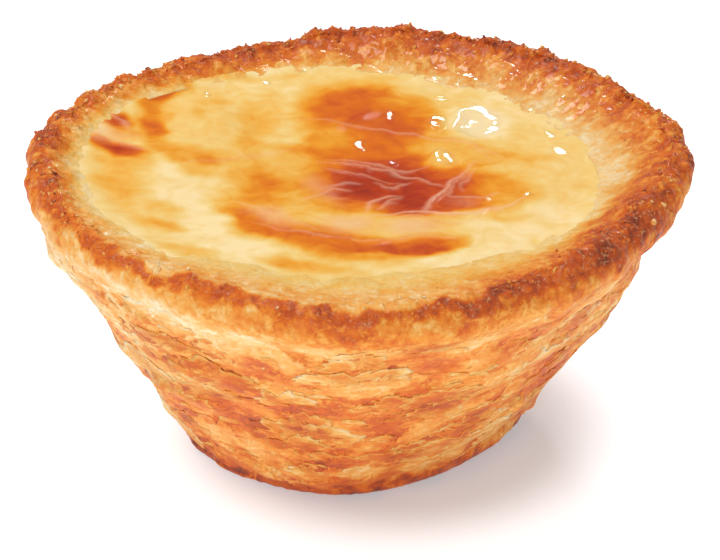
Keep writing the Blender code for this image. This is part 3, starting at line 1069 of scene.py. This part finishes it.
# Broad scorched fields: middle, half length, half width, turn in degrees, how dark, and how soft
BROAD_SPOTS = (
    (20, 2, 9, 12, 0, 0.17, 0.7),
    (-9.6, 6.6, 3.2, 3, 0, 0.12, 0.9),
    (-18.6, -10, 5.6, 11, 10, 0.02, 0.8),
    (-13, -19, 7, 3.4, -30, 0.03, 0.8),
    (19, -14, 7, 5, 40, 0.06, 0.8),
    (12, -21, 8, 3.4, 16, 0.04, 0.8),
    (-27, -3, 2.6, 6.4, 10, 0.36, 0.9),
    (-11.4, 14, 2, 6.4, -4, 0.34, 0.9),
    (-17.6, 13.4, 4.4, 9.4, 0, 0.23, 0.6),
    (-6.4, -3.6, 8.4, 9.4, 0, 0.34, 0.6),
    (12.6, 7.6, 7.6, 3.2, -24, 0.32, 0.9),
    (1, 14, 8, 10, 0, 0.46, 0.35),
    (6.4, 15.6, 3, 4.6, 0, 0.52, 0.7),
    (-1.7, 19.2, 3.8, 5.2, -20, 0.67, 0.7),
    (2.2, 13.6, 4.6, 4, -30, 0.72, 0.7),
    (-0.2, 6.2, 7.4, 2.8, -6, 0.68, 0.5),
    (2.6, 9.2, 3.4, 4, 0, 0.64, 0.8),
    (-3.2, 9.8, 2.4, 2.2, 0, 0.46, 0.9),
    (-11.2, -3.6, 2.6, 5.4, 6, 0.55, 0.8),
    (5.4, -2.6, 12, 8.2, -8, 0.58, 0.35),
    (4.4, -0.8, 7.4, 6, -16, 0.8, 0.4),
    (2, -0.2, 4.2, 4.4, 0, 0.93, 0.6),
    (5.8, -5, 3.8, 4.6, 0, 0.9, 0.5),
    (11.8, -3.8, 3.4, 4.6, -10, 0.76, 0.5),
    (16.8, -3.6, 3.2, 3.2, -10, 0.46, 0.8),
    (10, 4.8, 1.9, 2.2, 0, 0.3, 0.7),
    (-7.8, 2.4, 2.4, 2.6, 0, 0.28, 0.9),
)
# Caramel strokes: how dark, half width, how soft, and the points that each runs through
STROKES = (
    (0.42, 3.6, 0.6, ((-15, -4.4), (-12.6, -11.6), (-6, -16.6), (1, -18.4), (7, -17.8), (13, -14.2))),
    (0.57, 2.7, 0.45, ((-15.4, -5.4), (-12.4, -11.8), (-7.4, -15.2), (-2, -17.2), (4, -18), (12.4, -14.8))),
    (0.64, 1.4, 0.8, ((-14.4, -7.6), (-12, -12.8), (-7, -15.8), (1, -18.4))),
    (0.76, 1.7, 0.6, ((-3, -18.2), (4, -19.2), (8.6, -18), (13, -15))),
    (0.44, 0.8, 0.9, ((-6, -19), (-1.4, -20.6), (2.6, -21), (6.4, -20.6))),
    (0.52, 1.5, 0.8, ((-24.8, 27), (-24.4, 18), (-23.8, 10), (-21.6, 2.6))),
    (0.66, 1, 0.8, ((-24.8, 15.6), (-24.2, 11.4), (-23.2, 7))),
    (0.45, 2.2, 0.7, ((-25.4, 11), (-21.4, 4.4), (-17.6, 2.4), (-11, 6))),
    (0.36, 1.4, 0.9, ((-14.4, -1), (-12.2, 8), (-12.2, 16), (-14, 24))),
    (0.34, 0.6, 0.9, ((-18.6, 17.4), (-18.9, 15.4), (-18.5, 13.4))),
    (0.36, 1.8, 0.8, ((-28.6, 10.6), (-26.6, 9.4), (-25, 7.4))),
    (0.28, 1.6, 0.9, ((-24, -7), (-21.6, -9.6), (-19.6, -13.6))),
    (0.42, 1.2, 0.9, ((-26.4, -10.6), (-23.4, -13), (-20.4, -14.6), (-18, -15))),
    (0.32, 1.5, 0.9, ((-24, -16), (-20.4, -19), (-17, -21.2), (-14, -22.4))),
    (0.44, 1.1, 0.9, ((-12.6, -20.6), (-9, -22.2), (-5, -23.6), (1, -23.8))),
    (0.36, 1.1, 0.9, ((12.4, 8.8), (16.4, 6.4), (20.6, 4.8), (24, 4))),
    (0.26, 1, 0.9, ((12.4, -12), (16.6, -10.4), (21, -9.4))),
    (0.32, 1.2, 0.9, ((-21, -2), (-18.4, -0.6), (-15, -0.8))),
    (0.3, 1, 0.9, ((-29, 24), (-16, 26), (-4, 26.4))),
)
# Spots over the strokes: the pale bridge above the crescent, the disc's speck, the large blister's
# cream, partly a painted sheen, and the burnt spots at the left
SPOTS = (
    (-2.4, -12.6, 4.8, 2.2, -8, 0.3, 0.8),
    (2.6, -12.6, 3.4, 2.4, 0, 0.26, 0.8),
    (7.4, -12.8, 3.2, 2.2, 0, 0.28, 0.8),
    (-16.9, 19, 1.6, 1.1, 0, 0.34, 0.9),
    # The large blister's cream: partly a painted sheen
    (14.4, 15, 3.4, 4.4, 0, -0.05, 0.7),
    (-23.6, 21.6, 3.4, 1.7, 34, 0.8, 0.9),
    (-28.4, 12.4, 2, 1.9, 0, 0.74, 0.8),
    (-27, 2.8, 2.8, 2.2, -20, 0.34, 0.9),
    (-27.6, 5.8, 2.8, 1.3, -34, 0.9, 0.9),
    (-30.2, 7, 1.9, 1.6, -30, 0.7, 0.9),
)
# Pale skin over the caramel, partly a painted sheen: how pale, half width, how soft, and the points that
# each runs through
SHEEN_VEILS = (
    (0.5, 1.5, 0.8, ((-14, -8.6), (-11, -9.8), (-8.6, -12), (-6.4, -14.4))),
    (0.3, 1.4, 0.9, ((-5.8, 2), (-5, -1), (-3.6, -5), (-1.6, -8.6))),
    (0.6, 2, 0.9, ((-6, -12), (-2.6, -12.8), (0.4, -12.6), (2.6, -12))),
    (0.6, 2, 0.9, ((1.4, -13.4), (4.4, -12.8), (7.6, -12.6), (11.6, -11.4))),
    (0.2, 1.2, 0.9, ((9.6, -5), (12, -6.6), (14.6, -6))),
    (0.5, 1.6, 0.9, ((-31, 20), (-31.6, 14), (-30.6, 9.6), (-27, 8.6), (-24, 9))),
    (0.3, 1, 0.9, ((-27, 20.4), (-24.4, 23.6), (-20.4, 26))),
)
# Folds of paler skin, their paleness partly a painted sheen: how pale, half width, how high, and the points
# that each runs through
FOLDS = (
    (0.7, 0.42, 0.14, ((13.6, 4.4), (11.1, -0.7), (9.4, -4), (8, -7.2), (7.2, -9.6))),
    (0.45, 0.28, 0.1, ((12.8, 1.4), (10.6, -3.1), (9.1, -6.8))),
    (0.4, 0.25, 0.08, ((13.9, 2.6), (12.4, -0.8), (12, -4))),
    (0.6, 0.32, 0.12, ((10, -3.2), (7.2, 0.2), (5.2, 1.2), (1.5, 3.2), (-5, 3.8))),
    (0.55, 0.28, 0.12, ((8.5, 3.9), (4.7, 2.4), (2, 3.9), (-4, 4.6))),
    (0.4, 0.25, 0.08, ((-3.4, 2.4), (0.4, 1.8), (2.6, 0.2), (5.4, -1))),
    (0.65, 0.42, 0.12, ((0.8, -9.6), (1.4, -6.8), (2.7, -5), (5, -4.6))),
    (0.5, 0.3, 0.1, ((5.1, -4.8), (3.4, -6.4), (2.2, -8.6))),
    (0.75, 0.42, 0.14, ((0.2, -11.2), (4.7, -9.2), (8, -9.1), (11.3, -9.8), (15, -8.8), (20, -5))),
    (0.4, 0.28, 0.1, ((3, -10.8), (6.6, -10.2), (10, -11.4), (14.4, -11))),
    (0.55, 0.36, 0.1, ((-6.2, -6.9), (-4.4, -4.5), (-2.7, -2.4), (-0.8, -2.6))),
    (0.45, 0.26, 0.1, ((-5.6, -5), (-3.8, -2.8), (-1.8, -1), (0.6, -1))),
    (0.4, 0.26, 0.08, ((-4.2, -7.4), (-2.4, -5.4), (-1, -4.4))),
    (0.45, 0.32, 0.1, ((1.6, -0.2), (3.9, -1.6), (6.4, -0.7))),
    (0.45, 0.34, 0.12, ((9, -4), (12, -5.6), (16, -4.6))),
    (
        *(0.4, 0.32, 0.14),
        ((-7.3, 15.2), (-2.8, 13.9), (0.6, 12.7), (4.1, 11.9), (7.5, 10.7), (12, 8.9), (18.6, 4.2)),
    ),
    (0.25, 0.28, 0.1, ((7, 12.4), (11.4, 10), (14, 7), (15.6, 3.6))),
    (0.45, 0.5, 0.12, ((-14, -7.6), (-10.4, -9.8), (-8.2, -12.3), (-4.2, -15.2))),
    (0.35, 0.32, 0.1, ((-11.6, -12.8), (-7, -15.2), (-1.4, -16.8))),
    (0.3, 0.28, 0.08, ((-3, -16.2), (2.4, -16.8), (7, -15.4), (11, -15.8))),
    (0.2, 0.6, 0.08, ((-20, 1.2), (-16, 2.4), (-12.4, 4.4), (-7, 6.8))),
    (0.5, 0.34, 0.12, ((-31.4, 15), (-29, 13.8), (-27.4, 12), (-26.4, 10.4))),
    (0.5, 0.34, 0.12, ((-31.6, 9.4), (-29.4, 7.4), (-27, 6.4), (-24.8, 4))),
    (0.35, 0.3, 0.1, ((-27, 19.6), (-24.4, 21.6), (-20.6, 23.6))),
)
# Blisters: middle, half length, half width, and how high
BLISTERS = (
    (3.7, 15.6, 0.8, 1.5, 0.18),
    (0.1, 8.4, 0.9, 1.7, 0.18),
    (9.2, 14.2, 1.5, 1.7, 0.2),
    (10, 21.4, 0.6, 0.8, 0.16),
    (14, 14.8, 3.6, 4.8, 0.28),
    (10, 5.4, 1.9, 2.4, 0.16),
    (-18.3, 21, 0.7, 1.2, 0.18),
    (-11, 24.7, 0.6, 0.8, 0.16),
    (22.2, 12.2, 0.8, 1.2, 0.18),
    (23.1, 7.2, 0.9, 1.1, 0.16),
    (4, 4.4, 0.7, 0.8, 0.14),
    (3.8, -1.9, 0.5, 0.5, 0.1),
    (14.6, -6, 0.6, 0.6, 0.14),
    (19.4, -5.4, 0.8, 0.7, 0.14),
)
# How a blister's top leans, away from the right and towards the front, to catch the light
BLISTER_LEAN = (-0.08, 0.12)
BLISTER_WAVE = (2.4, 0.12)
# The broad low disc at the left
DISC_BLISTER = (-17.8, 13.4, 5.6, 9, 0.28)
# The dimple in the large blister, so that the light makes a loop on it
DIMPLE = (13.4, 14.4, 2.3, 3.4, 0.3)
SKIN_WARP = ((5, 1.1), (2.2, 0.6), (0.9, 0.14))
# How far the custard reaches in under the rim's slope, and dives there
CUSTARD_TUCK = 2
CUSTARD_DIVE = 0.6
# How deep the custard's visible body is, and how much narrower at its flat underside
CUSTARD_DEPTH = 3.5
CUSTARD_TAPER = 0.985
# How far the burnt skin sinks, and how much duller the custard is beside the pastry
SCORCH_SINK = 0.1
EDGE_DRYNESS = 0.5
FOLD_WARP = ((2.6, 0.75), (1, 0.22))


def smooth_line(points, steps=10):
    """Places along the smooth line through points."""
    points = np.array([points[0], *points, points[-1]], float)
    t = (np.arange(steps) / steps)[:, None]
    line = [smooth_between(*points[start : start + 4], t) for start in range(len(points) - 3)]
    return np.vstack([*line, points[-1:]])


def from_line(x, y, points, reach):
    """The distance from a smooth line and the share of the way along it; far off where not near."""
    line = smooth_line(points)
    near = (x > line[:, 0].min() - reach) & (x < line[:, 0].max() + reach)
    near &= (y > line[:, 1].min() - reach) & (y < line[:, 1].max() + reach)
    distance, along = np.full(x.shape, 1e3), np.zeros(x.shape)
    places = np.stack([x[near], y[near]], axis=-1)
    best, best_along = np.full(len(places), 1e3), np.zeros(len(places))
    for index, (start, end) in enumerate(zip(line, line[1:])):
        way = end - start
        t = np.clip((places - start) @ way / max(way @ way, 1e-12), 0, 1)
        away = np.hypot(*(places - start - t[:, None] * way).T)
        closer = away < best
        best = np.where(closer, away, best)
        best_along = np.where(closer, (index + t) / (len(line) - 1), best_along)
    distance[near], along[near] = best, best_along
    return distance, along


def custard_height(x, y, share, bearing):
    """How high the custard's skin lies, without its folds."""
    top = around(CUSTARD_EDGE, bearing)
    height = CUSTARD_CENTRE + (top - MENISCUS - CUSTARD_CENTRE) * share**2
    height = height + MENISCUS * blend(0.9, 1.0, share)
    calm = 1 - blend(0.8, 1.0, share)
    for middle_x, middle_y, reach, lift in SWELLS:
        away = ((x - middle_x) ** 2 + (y - middle_y) ** 2) / reach**2
        height = height + lift * np.exp(-away) * calm
    height = height + grain(x, y, 0.0, *SKIN_WAVE, 4.0) * calm
    return height + grain(x, y, 0.0, *SKIN_RIPPLE, 7.0)


def from_middle(x, y, oval):
    """How far each place is from an oval's middle, if its edge is 1 away."""
    middle_x, middle_y, half_length, half_width = oval[:4]
    return np.hypot((x - middle_x) / half_length, (y - middle_y) / half_width)


def spot_share(x, y, spot):
    """1 inside a scorched spot, and 0 outside it."""
    middle_x, middle_y, half_length, half_width, degrees, _, soft = spot
    c, s = math.cos(math.radians(degrees)), math.sin(math.radians(degrees))
    along, across = (x - middle_x) * c + (y - middle_y) * s, (y - middle_y) * c - (x - middle_x) * s
    away = np.hypot(along / half_length, across / half_width)
    return 1 - blend(1 - soft, 1 + soft, away)


def tapered(along):
    """How wide a stroke or a fold is along its way, with 1 in its middle."""
    return np.sqrt(np.sin(math.pi * np.clip(along, 0.02, 0.98)))


def stroke_share(x, y, half_width, soft, points):
    """1 inside a stroke that tapers to its ends, and 0 outside it."""
    away, along = from_line(x, y, points, half_width * 3)
    ends = blend(0.0, 0.5 * soft, along) * (1 - blend(1 - 0.5 * soft, 1.0, along))
    return (1 - blend(1 - soft, 1 + soft, away / (half_width * tapered(along)))) * ends


def warped(x, y, warp, seed):
    """Places shaken by noise, so that what is drawn at them gets uneven edges."""
    shaken_x, shaken_y = x, y
    for size, depth in warp:
        shaken_x = shaken_x + grain(x, y, 0.0, size, depth, seed)
        shaken_y = shaken_y + grain(x, y, 0.0, size, depth, seed + 4.0)
        seed += 2.0
    return shaken_x, shaken_y


def custard_scorch(x, y, share):
    """How dark the custard's skin is: spots and strokes, each laid over those before."""
    scorch = CUSTARD_SCORCH * (1 - blend(*EDGE_CREAM, share)) + grain(x, y, 0.0, *SCORCH_CLOUD, 39.0)
    for spot in BROAD_SPOTS:
        scorch = scorch + (spot[5] - scorch) * spot_share(x, y, spot)
    for dark, half_width, soft, points in STROKES:
        scorch = scorch + (dark - scorch) * stroke_share(x, y, half_width, soft, points)
    for spot in SPOTS:
        scorch = scorch + (spot[5] - scorch) * spot_share(x, y, spot)
    return scorch


def blistered(x, y, height):
    """The skin's height with its blisters, whose tops lean to the light, and how wet they are."""
    wet = np.zeros(x.shape)
    lean_x, lean_y = BLISTER_LEAN
    uneven = grain(x, y, 0.0, *BLISTER_WAVE, 83.0)
    for *oval, high in BLISTERS:
        right, back = x - oval[0], y - oval[1]
        level = height[np.argmin(np.hypot(right, back))]
        top = 1 - blend(0.6, 1.0, from_middle(x, y, oval))
        height = height + top * (level + high + uneven + lean_x * right + lean_y * back - height)
        wet = np.maximum(wet, top)
    height = height - DIMPLE[4] * (1 - blend(0.1, 1.0, from_middle(x, y, DIMPLE)))
    away, high = from_middle(x, y, DISC_BLISTER), DISC_BLISTER[4]
    height = height + high * (1 - blend(0.3, 1.0, away)) - 0.3 * high * np.exp(-(((away - 1.1) / 0.2) ** 2))
    return height, wet


def make_custard(finish):
    """The custard: a square sheet drawn out to the cup's round, folded, blistered and scorched."""
    sheet = bmesh.new()
    bmesh.ops.create_grid(sheet, x_segments=CUSTARD_SQUARES, y_segments=CUSTARD_SQUARES, size=1.0)
    square = np.array([vert.co[:2] for vert in sheet.verts])
    disc_x = square[:, 0] * np.sqrt(1 - square[:, 1] ** 2 / 2)
    disc_y = square[:, 1] * np.sqrt(1 - square[:, 0] ** 2 / 2)
    share, bearing = np.hypot(disc_x, disc_y), np.arctan2(disc_y, disc_x)
    room = fill_radius(bearing, around(CUSTARD_EDGE, bearing))
    reach = room + CUSTARD_TUCK
    x, y = level_places(share * reach, bearing)
    height = custard_height(x, y, np.minimum(share * reach / room, 1.0), bearing)
    scorch = custard_scorch(*warped(x, y, SKIN_WARP, 31.0), share)
    shaken = warped(x, y, FOLD_WARP, 41.0)
    # Paleness of the veils and folds: partly a painted sheen on the skin
    skin = np.zeros(x.shape)
    for pale_and_sheen, half_width, soft, points in SHEEN_VEILS:
        skin = np.maximum(skin, pale_and_sheen * stroke_share(*shaken, half_width, soft, points))
    for pale_and_sheen, half_width, high, points in FOLDS:
        away, along = from_line(*shaken, points, half_width * 5)
        taper = tapered(along)
        ridge = np.exp(-((away / half_width / (0.4 + 0.6 * taper)) ** 2)) * taper
        height = height + high * ridge
        skin = np.maximum(skin, pale_and_sheen * ridge)
    height, wet = blistered(*shaken, height)
    height = height - SCORCH_SINK * blend(0.45, 0.9, scorch) - CUSTARD_DIVE * blend(0.96, 1.0, share)
    wet = wet - EDGE_DRYNESS * blend(0.82, 0.9, share)
    place(sheet, np.stack([x, y, height], axis=-1))
    outer = [edge for edge in sheet.edges if edge.is_boundary]
    made = bmesh.ops.extrude_edge_only(sheet, edges=outer)["geom"]
    lowered = [vert for vert in made if isinstance(vert, bmesh.types.BMVert)]
    for vert in lowered:
        x, y, _ = vert.co * CUSTARD_TAPER
        vert.co = Vector((x, y, (CUSTARD_CENTRE - CUSTARD_DEPTH) * MM))
    unseen = np.zeros(len(lowered))
    seen = {"scorch": scorch, "skin": skin, "wet": wet}
    values = {key: np.concatenate([value, unseen]) for key, value in seen.items()}
    finish_piece(sheet, "custard_filling", finish, ["custard"], values)


# The set

CAMERA_PLACE = (0, -0.3775, 0.2181)
CAMERA_PITCH = math.radians(90 - 27.93)
CAMERA_TURN = math.radians(-0.03)
CAMERA_LENS = 183.75
# Lights: name, place, size, watts and colour
LIGHTS = (
    ("key_left", (-0.42, 0.12, 1.2), 0.7, 7.8, (1, 1, 0.99)),
    ("front_fill", (-0.16, -1.3, 0.5), 0.9, 5, (1, 1, 1)),
    ("back_glint", (0.15, 0.9, 0.75), 0.2, 3, (1, 1, 1)),
)
LIGHT_AIM = (0, 0, 0.02)
SKY_STRENGTH = 0.36
# The table's half size in metres, and how far it lies below the tart in millimetres
FLOOR_HALF_SIZE = 3
FLOOR_GAP = 0.05
# The table's glow near the tart, dimmed there as a painted shadow, and far off, and the two
# distances from a middle, in metres
GLOW_IN_PAINTED_SHADOW = (0.33, 0.33, 0.33, 1)
GLOW_BEYOND_PAINTED_SHADOW = (0.8, 0.8, 0.8, 1)
PAINTED_SHADOW_REACH = (0.017, 0.029)
PAINTED_SHADOW_MIDDLE = (0.0045, -0.003, 0)


def make_floor():
    """A white light table whose glow is dimmer under the tart: a painted shadow over the lamps' own."""
    sheet = bmesh.new()
    bmesh.ops.create_grid(sheet, x_segments=1, y_segments=1, size=FLOOR_HALF_SIZE)
    bmesh.ops.translate(sheet, verts=sheet.verts, vec=(0.0, 0.0, -FLOOR_GAP * MM))
    mesh = bpy.data.meshes.new("floor")
    sheet.to_mesh(mesh)
    sheet.free()
    finish = Finish(
        "white_light_table_painted_shadow",
        base_color=(0.52, 0.56, 0.61, 1.0),
        roughness=0.9,
        specular_ior_level=0.0,
        emission_strength=1.0,
    )
    way = {0: finish.places, 1: PAINTED_SHADOW_MIDDLE}
    away = finish.node("ShaderNodeVectorMath", {"operation": "DISTANCE"}, way, "Value")
    # Dim glow near the tart and bright glow far off: a painted shadow, set a little to the right and front
    out_of_painted_shadow = away.stepped(*PAINTED_SHADOW_REACH)
    finish.shade(emission_color=finish.mixed(out_of_painted_shadow, GLOW_IN_PAINTED_SHADOW, GLOW_BEYOND_PAINTED_SHADOW))
    mesh.materials.append(finish.material)
    show("floor", mesh)


def make_lights():
    for name, spot, size, watts, colour in LIGHTS:
        light = bpy.data.lights.new(name, "AREA")
        light.shape = "DISK"
        light.size, light.energy, light.color = size, watts, colour
        lamp = show(name, light)
        lamp.location = spot
        lamp.rotation_euler = (Vector(LIGHT_AIM) - Vector(spot)).to_track_quat("-Z", "Y").to_euler()
    world = bpy.data.worlds.new("studio")
    world.use_nodes = True
    sky = world.node_tree.nodes["Background"]
    sky.inputs["Color"].default_value = (1.0, 1.0, 1.0, 1.0)
    sky.inputs["Strength"].default_value = SKY_STRENGTH
    bpy.context.scene.world = world


def make_camera():
    camera = bpy.data.cameras.new("camera")
    camera.lens = CAMERA_LENS
    camera.sensor_width = 36.0
    camera.clip_start, camera.clip_end = 0.01, 20.0
    stand = show("camera", camera)
    stand.location = CAMERA_PLACE
    stand.rotation_euler = (CAMERA_PITCH, 0.0, CAMERA_TURN)
    bpy.context.scene.camera = stand


def main():
    layered, craggy, caramelised = wall_finish(), rim_finish(), custard_finish()
    relief = make_wall(layered)
    make_plates(layered, relief)
    make_flecks(layered, relief)
    make_crumbs(craggy, *make_rim(craggy, relief))
    make_custard(caramelised)
    make_floor()
    make_lights()
    make_camera()
    bpy.context.scene.view_settings.view_transform = "Standard"


main()
